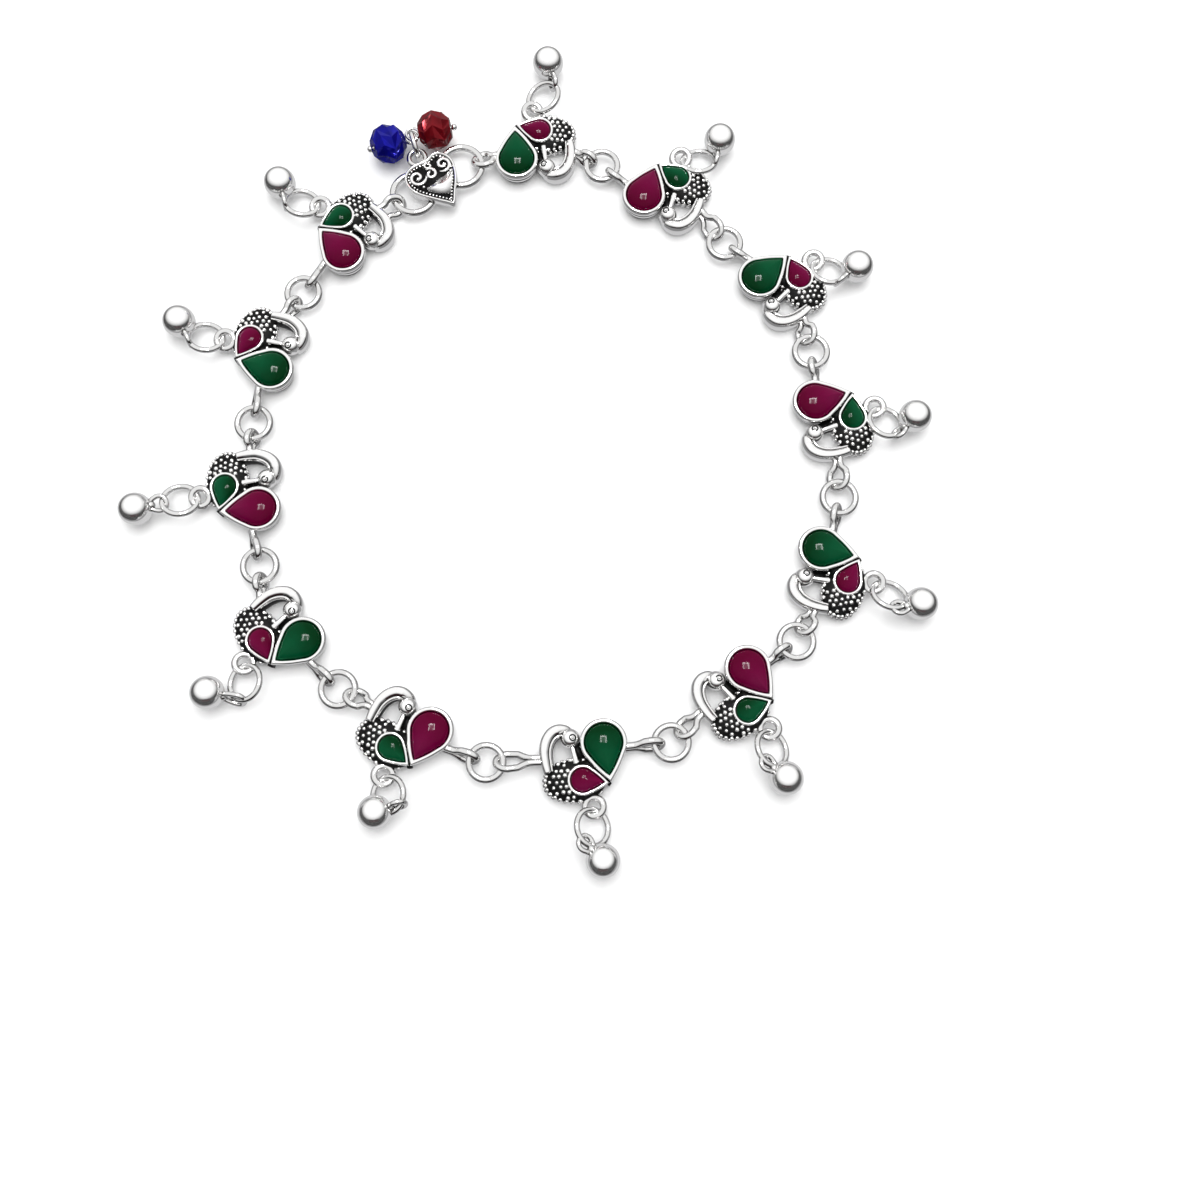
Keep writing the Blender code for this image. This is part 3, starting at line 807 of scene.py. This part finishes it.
# %% Sizes of a drop
JUMP_RADIUS = 2.45
JUMP_WIRE = 0.41
JUMP_ALONG = 0.35  # from the eyelet's middle to the jump ring's wire
LOOP_WIRE = 0.35
LOOP_HALF = 1.05
LOOP_LENGTH = 3.7  # from the jump ring's wire to the ball's middle
HELD_ABOVE = 1.75
BALL_RADIUS = 2.3
SETTLE = 0.5  # share of its lean that a settled ring keeps
LOOP_PAST = 0.62  # how far the loop reaches past the jump ring
SEAT = 0.62


# %% One drop
def loop_outline(length):
    """Half an eight: round at the jump ring, drawn in where it meets the ball."""
    w = LOOP_HALF
    side = [(length, 0.35), (length * 0.72, 0.8 * w), (w * 0.9, w), (w * 0.25, 0.7 * w)]
    return side + [(0, 0)] + [(s, -t) for s, t in side[::-1]]


def drop_parts(i):
    azimuth, roll, pitch, x, y, turn = DROPS[i]
    heading = math.radians(azimuth + ROUTE[i][2])
    roll, pitch = math.radians(roll * SETTLE), math.radians(pitch * SETTLE)
    turn = math.radians(turn)
    ahead = np.array((math.cos(heading), math.sin(heading), 0.0))
    left = np.array((-math.sin(heading), math.cos(heading), 0.0))
    along = ahead * math.cos(pitch) + UP * math.sin(pitch)
    across = (left * math.cos(roll)
              + (UP * math.cos(pitch) - ahead * math.sin(pitch)) * math.sin(roll))
    centre = on_table(i, *DROP_EYELET) + ahead * JUMP_ALONG + along * JUMP_RADIUS
    jump_ring = ring(centre, along, across, JUMP_RADIUS, JUMP_WIRE, 56, 14)

    middle = np.array((x, y, BALL_RADIUS))
    spots = [centre + JUMP_RADIUS * (along * math.cos(a) + across * math.sin(a))
             for a in np.radians(np.arange(-120, 121, 5))]
    held = min((spot for spot in spots if spot[2] > HELD_ABOVE),
               key=lambda spot: abs(np.linalg.norm(spot - middle) - LOOP_LENGTH))
    way = (middle - held) / np.linalg.norm(middle - held)
    side = np.cross(way, UP)
    side /= np.linalg.norm(side)
    rise = np.cross(side, way) * math.cos(turn) + side * math.sin(turn)
    start, end = held - way * LOOP_PAST, middle - way * (BALL_RADIUS - 0.3)
    outline = loop_outline(np.linalg.norm(end - start))
    loop = wire(smooth_path([start + way * s + rise * t for s, t in outline], 6), LOOP_WIRE, 12)
    seat = globe(middle - way * (BALL_RADIUS - 0.1), SEAT, 20, 10)
    return [(jump_ring, 0), (loop, 0), (seat, 0), (globe(middle, BALL_RADIUS, 56, 32), 1)]


# %% Lay the twelve drops
for i in range(PLAQUES):
    make_piece(f"ball_drop_{i + 1:02d}", moved(drop_parts(i)), [shaded_wire_silver, ball_silver],
               [f"drop_{i + 1:02d}"])
print(PLAQUES, "drops laid")

# %% [markdown]
# The clasp is a hook of two wire loops under a heart plate. The plate covers the
# ends of the loops, so closed rings stand for them. The heart's outline is a smooth
# curve through a few points, and every edge and row inside it is that outline
# moved inward.

# %% Heart plate outline
HEART = [(-11.42, 35.65), (-11.25, 37.8), (-11.2, 40.2), (-11.7, 42.3), (-12.7, 43.5),
         (-14.05, 44.0), (-15.1, 43.55), (-15.8, 42.7), (-17.4, 41.9), (-18.3, 41.2),
         (-18.9, 40.1), (-18.7, 38.8), (-17.85, 37.65), (-16.5, 36.85), (-14.3, 36.2),
         (-12.75, 35.8)]
HEART_MIDDLE = (-14.4, 40.0)
heart_edge = even(smooth_path([(x, y, 0) for x, y in HEART], 8, closed=True)[:, :2], 120)


def heart_loop(inset, z):
    """The heart's outline moved inward by inset millimetres."""
    way = np.roll(heart_edge, -1, 0) - np.roll(heart_edge, 1, 0)
    way /= np.linalg.norm(way, axis=1)[:, None]
    inward = np.stack([-way[:, 1], way[:, 0]], 1)
    return lift(heart_edge + inward * inset, z)


def area(outline):
    x, y = outline[:, 0], outline[:, 1]
    return 0.5 * (x * np.roll(y, -1) - y * np.roll(x, -1)).sum()


print("heart area in mm2", round(area(heart_edge), 1))

# %% [markdown]
# The plate has a rolled edge, a row of beads inside it, a blackened field a little
# lower, and a plain satin corner at the tip.

# %% Heart plate
SATIN, WIRE = 2, 3  # two more finishes of the clasp
PLATE_LOW, PLATE_TOP = 1.6, 3.0
ON_FIELD = PLATE_TOP - 0.2
plate = skin([heart_loop(0.12, PLATE_LOW), heart_loop(0.0, PLATE_LOW + 0.1),
              heart_loop(0.0, PLATE_TOP - 0.12), heart_loop(0.1, PLATE_TOP),
              heart_loop(0.26, PLATE_TOP), heart_loop(0.34, PLATE_TOP - 0.28)])
beads_path = even(heart_loop(0.62, 0)[:, :2], 44)
border = [(globe((x, y, ON_FIELD), 0.19, 10, 7), BRIGHT) for x, y in beads_path]
field = prism(heart_loop(0.3, 0)[:, :2], PLATE_TOP - 0.6, PLATE_TOP - 0.24)
corner = prism([(-12.0, 37.2), (-11.78, 39.0), (-11.78, 41.2), (-12.3, 40.85),
                (-12.9, 40.05), (-13.7, 39.55), (-14.4, 38.75), (-15.5, 38.0),
                (-15.3, 37.5), (-13.8, 37.2)], PLATE_TOP - 0.3, PLATE_TOP - 0.06)
print(len(border), "beads round the heart")

# %% [markdown]
# Filigree is thin wire wound into curls and soldered to a ground, with a ball
# where a curl ends. Four curls and four balls fill the field.

# %% Scroll on the heart
def curl(middle, start, size, turns, wide=0.28):
    """A wire that winds into a point, lying on the field."""
    t = np.linspace(0, 1, 40)
    a = math.radians(start) + turns * 2 * math.pi * t
    r = size * (1 - t) + 0.22 * t
    path = np.stack([middle[0] + r * np.cos(a), middle[1] + r * np.sin(a),
                     np.full(40, ON_FIELD)], 1)
    return wire(path, np.interp(t, [0, 0.1, 0.85, 1], [0.1, wide, wide, wide * 1.3]), 10)


scroll = [(curl((-13.35, 42.0), 250, 1.25, 1.3), BRIGHT),
          (curl((-17.0, 39.7), 20, 1.35, -1.3), BRIGHT),
          (curl((-15.05, 40.35), 140, 0.95, -1.1), BRIGHT),
          (curl((-15.5, 41.7), 100, 0.6, 1.0, 0.2), BRIGHT)]
scroll += [(globe((x, y, ON_FIELD), 0.24, 12, 8), BRIGHT)
           for x, y in ((-16.0, 38.2), (-18.05, 38.9), (-13.7, 43.15), (-12.1, 40.9))]
print(len(scroll), "pieces of scroll")

# %% [markdown]
# The two loops of the hook and the eyelet for the charms are heavier wire than
# the rings. They are soldered under the plate, so all of it is one piece.

# %% Hook wire
HOOK_WIRE = 0.5
hook_parts = [(plate, BRIGHT), (field, BLACK), (corner, SATIN), *border, *scroll]
for x, y in HOOK_LOOPS:
    hook_parts.append((ring((x, y, EYELET_MIDDLE), (1, 0, 0), (0, 1, 0), HOOK_LOOP_RADIUS,
                            HOOK_WIRE, 72), WIRE))
hook_parts.append((ring((-17.2, 43.25, 2.3), (1, 0, 0), (0, 1, 0), 1.22, 0.4), WIRE))
clasp = make_piece("clasp_heart_hook", moved(hook_parts),
                   [cast_silver, black_oxide, satin_silver, shaded_wire_silver],
                   ["clasp_hook"])
turn_normals_out(clasp.data)
print("the clasp has", len(clasp.data.polygons), "faces")

# %% [markdown]
# Two charms hang from one ring at the clasp: faceted crystal beads, each on a head
# pin whose end is turned round the ring. A bead is rows of ten corners. The two
# rows beside the middle are turned by half a step, so the faces between are
# triangles.

# %% Charm ring and sizes of the charms
CHARM_AT = np.array((-17.63, 45.26, 2.35))
CHARM_WAY = np.array((0.3, -0.954, 0.0))
FACETS = 10
# way along the bead, radius, turn in steps
BEAD_ROWS = [(-2.4, 0.45, 0), (-2.4, 1.4, 0), (-1.4, 2.5, 0.5), (0, 2.84, 0),
             (1.4, 2.5, 0.5), (2.4, 1.4, 0), (2.4, 0.45, 0)]
PIN_WIRE, PIN_HEAD, PIN_HEAD_AT, PIN_LOOP = 0.22, 0.45, 2.9, 0.95
charm = ring(CHARM_AT + MOVE, CHARM_WAY, UP, 1.95, 0.36)
make_piece("charm_loop", [(charm, 0)], [shaded_wire_silver], ["charm_ring"])


# %% Faceted bead
def rondelle(centre, loop_at):
    """A faceted bead with a bore along the way to its loop."""
    axis = (loop_at - centre) / np.linalg.norm(loop_at - centre)
    side = np.cross(axis, UP)
    side /= np.linalg.norm(side)
    rise = np.cross(side, axis)
    loops = [[centre + axis * s + radius * (side * math.cos(a) + rise * math.sin(a))
              for a in even_turn(FACETS, shift)] for s, radius, shift in BEAD_ROWS]
    verts, quads = skin(loops, closed=True)
    faces = []
    for a, b, c, d in quads:
        odd = (a // FACETS) % 2
        faces += [(a, b, c), (a, c, d)] if odd else [(a, b, d), (b, c, d)]
    return verts, faces


# %% Head pin
def head_pin(centre, loop_at):
    """A wire through the bead, a ball on its far end and a loop at the ring."""
    axis = (loop_at - centre) / np.linalg.norm(loop_at - centre)
    flat = np.array((axis[0], axis[1], 0.0)) / math.hypot(axis[0], axis[1])
    aside = np.array((-flat[1], flat[0], 0.0))
    head_at = centre - axis * PIN_HEAD_AT
    tail = loop_at - axis * PIN_LOOP
    return [(wire([head_at, centre, tail], PIN_WIRE, 12), 0),
            (globe(head_at, PIN_HEAD, 18, 10), 0),
            (ring(loop_at, flat, aside, PIN_LOOP, PIN_WIRE, 36, 12), 0)]


# %% Hang the two charms
CHARMS = [("blue", cobalt, (-21.5, 45.2, 2.95), 2.05),
          ("red", garnet, (-14.6, 47.45, 2.95), 2.75)]
for colour, finish, at, z in CHARMS:
    far = CHARM_AT - CHARM_WAY * 1.75
    centre, far = np.array(at), np.array((far[0], far[1], z))
    way = (centre - far) * (1, 1, 0)
    loop_at = far + way / np.linalg.norm(way) * 0.2
    make_piece(f"{colour}_rondelle", [(rondelle(centre + MOVE, loop_at + MOVE), 0)], [finish],
               [f"{colour}_bead"], flat=True)
    make_piece(f"{colour}_head_pin", moved(head_pin(centre, loop_at)), [shaded_wire_silver],
               [f"{colour}_pin"])
    print(colour, "bead lies", round(float(np.linalg.norm(centre - loop_at)), 1), "mm away")

# %% [markdown]
# The table is a plain white sheet. Polished metal shows what lies round it more
# than itself, and a bright table makes it vanish, so reflections don't see this
# table but a darker one, laid 30 mm lower. Every helper of that kind is a stage
# sheet that says which rays don't see it.

# %% Stage sheets
def plain_finish(name, colour, roughness, glow=None):
    """A matt finish, which gives off light of the colour glow if there is one."""
    finish, nodes, links, shader = new_finish(name)
    fibre = noise_on_surface(nodes, links, 60.0)
    tone = ramp_of(nodes, links, fibre.outputs["Fac"],
                   [(0.3, colour), (0.7, tuple(c * 0.99 for c in colour))])
    links.new(tone.outputs["Color"], shader.inputs["Base Color"])
    shader.inputs["Roughness"].default_value = roughness
    shader.inputs["Specular IOR Level"].default_value = 0.1
    if glow:
        shader.inputs["Emission Color"].default_value = (*glow, 1.0)
        shader.inputs["Emission Strength"].default_value = 1.0
    return finish


def stage_sheet(name, points, faces, finish, hidden_from=()):
    """A sheet of the surroundings, in metres, that some kinds of ray don't see."""
    mesh = bpy.data.meshes.new(name)
    mesh.from_pydata([tuple(v) for v in points], [], faces)
    mesh.materials.append(finish)
    sheet = bpy.data.objects.new(name, mesh)
    bpy.context.scene.collection.objects.link(sheet)
    sheet.visible_camera = "camera" not in hidden_from
    sheet.visible_diffuse = "diffuse" not in hidden_from
    sheet.visible_glossy = "glossy" not in hidden_from
    sheet.visible_transmission = "transmission" not in hidden_from
    sheet.visible_shadow = "shadow" not in hidden_from


def card(name, centre, across, along, finish, hidden_from=()):
    centre, across, along = (np.array(v, float) for v in (centre, across, along))
    corners = [centre - across - along, centre + across - along,
               centre + across + along, centre - across + along]
    stage_sheet(name, corners, [(0, 1, 2, 3)], finish, hidden_from)


# %% Table
DARK = grey(0.0)
ONLY_REFLECTED = ("camera", "diffuse", "shadow")
REFLECTED_Z = -0.03  # metres
card("table", (0, 0, -0.00002), (3, 0, 0), (0, 3, 0),
     plain_finish("white_table", grey(0.93), 0.7), ["glossy"])
card("table_in_silver", (0, 0, REFLECTED_Z), (0.17, 0, 0), (0, 0.17, 0),
     plain_finish("shaded_table", DARK, 0.7, (0.26, 0.26, 0.265)), ONLY_REFLECTED)

# %% [markdown]
# The wires and walls mirror the table close by, and in the photograph they are
# lighter than a grey sheet makes them. Discs of light just under the table, which
# only reflections see, lie below the plaques, drops and rings for that.

# %% Light pooled on the table around the silver
pools = [(*(on_table(i, x, y) + MOVE)[:2], r) for i in range(PLAQUES)
         for x, y, r in ((-0.04, -0.6, 5.6), (-3.3, -4.3, 4.4), (-6.0, 0.2, 4.6))]
pools += [(*(np.array((DROPS[i][3], DROPS[i][4], 0)) + MOVE)[:2], 9.0) for i in range(PLAQUES)]
pools += [(x, y, 2.0) for x, y, *_ in RING_CENTRES]
pools += [(x, y, 3.9) for x, y in HOOK_LOOPS] + [(*HEART_MIDDLE, 5.5)]
POOL_SIDES = 32
POOL_Z = -0.03  # millimetres, so just under the table
discs = np.array([[(x + r * math.cos(a), y + r * math.sin(a), POOL_Z)
                   for a in even_turn(POOL_SIDES)] for x, y, r in pools])
stage_sheet("pools_in_silver", discs.reshape(-1, 3) * MM,
            [tuple(range(k * POOL_SIDES, (k + 1) * POOL_SIDES)) for k in range(len(pools))],
            plain_finish("lit_table", DARK, 0.7, (0.62, 0.62, 0.63)), ONLY_REFLECTED)
print(len(pools), "pools of light")

# %% [markdown]
# Seen from low down, the table would end against a dark sky. A pale wall far
# behind it, which only the camera sees, closes the view as a studio's would.

# %% Pale wall behind the table
WALL_SIDES, WALL_RADIUS, WALL_TOP = 48, 2.9, 3.0
wall_points, wall_faces = skin(
    [[(WALL_RADIUS * math.cos(a), WALL_RADIUS * math.sin(a), z) for a in even_turn(WALL_SIDES)]
     for z in (-0.01, WALL_TOP)])
stage_sheet("pale_wall", wall_points, wall_faces[:WALL_SIDES],
            plain_finish("pale_wall", DARK, 0.7, (0.86, 0.86, 0.87)),
            ["diffuse", "glossy", "transmission", "shadow"])
print("wall", WALL_RADIUS, "m away")

# %% [markdown]
# The sky is a white tent: bright overhead, darker toward the horizon and toward
# the front, so that a ball is bright on top with a dark crescent low down. The
# world's own background does it with one ramp of height.

# %% Sky
world = bpy.data.worlds.new("tent")
bpy.context.scene.world = world
world.use_nodes = True
world_nodes, world_links = world.node_tree.nodes, world.node_tree.links
sky = world_nodes["Background"]
sky_place = world_nodes.new("ShaderNodeTexCoord")
sky_split = world_nodes.new("ShaderNodeSeparateXYZ")
world_links.new(sky_place.outputs["Generated"], sky_split.inputs["Vector"])
toward_front = world_nodes.new("ShaderNodeMath")
toward_front.operation = "MULTIPLY_ADD"
toward_front.inputs[1].default_value = 0.42
world_links.new(sky_split.outputs["Y"], toward_front.inputs[0])
world_links.new(sky_split.outputs["Z"], toward_front.inputs[2])
sky_height = world_nodes.new("ShaderNodeMapRange")
sky_height.inputs["From Min"].default_value = -1.0
world_links.new(toward_front.outputs["Value"], sky_height.inputs["Value"])
sky_ramp = ramp_of(world_nodes, world_links, sky_height.outputs["Result"],
                   [(0.0, grey(0.03)), (0.55, grey(0.03)), (0.6, grey(0.2)),
                    (0.66, grey(0.55)), (0.75, grey(0.9)), (0.88, grey(1.15))])
world_links.new(sky_ramp.outputs["Color"], sky.inputs["Color"])
sky.inputs["Strength"].default_value = 1.0
print("sky:", len(sky_ramp.color_ramp.elements), "steps")

# %% [markdown]
# Four lights overhead, three bars and a dim pane, are a small window. Only gloss
# sees them, and they give every stone its square of light. A large key light makes
# the soft shadows and isn't reflected. A dark card in front puts the dark band
# into the balls that polished metal needs.


# %% Window, key light and dark card
def soft_light(name, at, aim, size, radiance):
    """A rectangle of light of a given brightness."""
    data = bpy.data.lights.new(name, "AREA")
    data.shape = "RECTANGLE"
    data.size, data.size_y = size
    data.energy = radiance * size[0] * size[1] * math.pi
    light = bpy.data.objects.new(name, data)
    bpy.context.scene.collection.objects.link(light)
    light.location = at
    light.rotation_mode = "QUATERNION"
    light.rotation_quaternion = (Vector(aim) - Vector(at)).to_track_quat("-Z", "Y")
    light.visible_camera = False
    return light


WINDOW_AT, WINDOW_HEIGHT = (0.0, 0.09), 0.42
WINDOW_STRENGTH = 12.0
# place beside the window's middle, width and length, brightness
WINDOW = [("window_top", 0.0, 0.055, (0.13, 0.025), 10.0),
          ("window_left", -0.05, -0.01, (0.025, 0.1), 7.0),
          ("window_right", 0.05, -0.01, (0.025, 0.1), 7.0),
          ("window_pane", 0.0, -0.01, (0.07, 0.1), 1.2)]
for name, dx, dy, size, radiance in WINDOW:
    at = Vector((WINDOW_AT[0] + dx, WINDOW_AT[1] + dy, WINDOW_HEIGHT))
    bar = soft_light(name, at, at - Vector((0, 0, 1)), size, radiance * WINDOW_STRENGTH)
    bar.visible_diffuse = False
key = soft_light("key", (0.03, 0.18, 0.5), (0, 0, 0), (0.5, 0.5), 2.3)
key.visible_glossy = False
card("front_card", (0.0, -0.34, 0.15), (0.17, 0, 0), (0, 0.03, 0.05),
     plain_finish("dark_card", (0.03, 0.012, 0.014), 0.8), ONLY_REFLECTED)
bpy.context.scene.view_settings.view_transform = "Standard"
print(len(WINDOW), "window lights and a key")
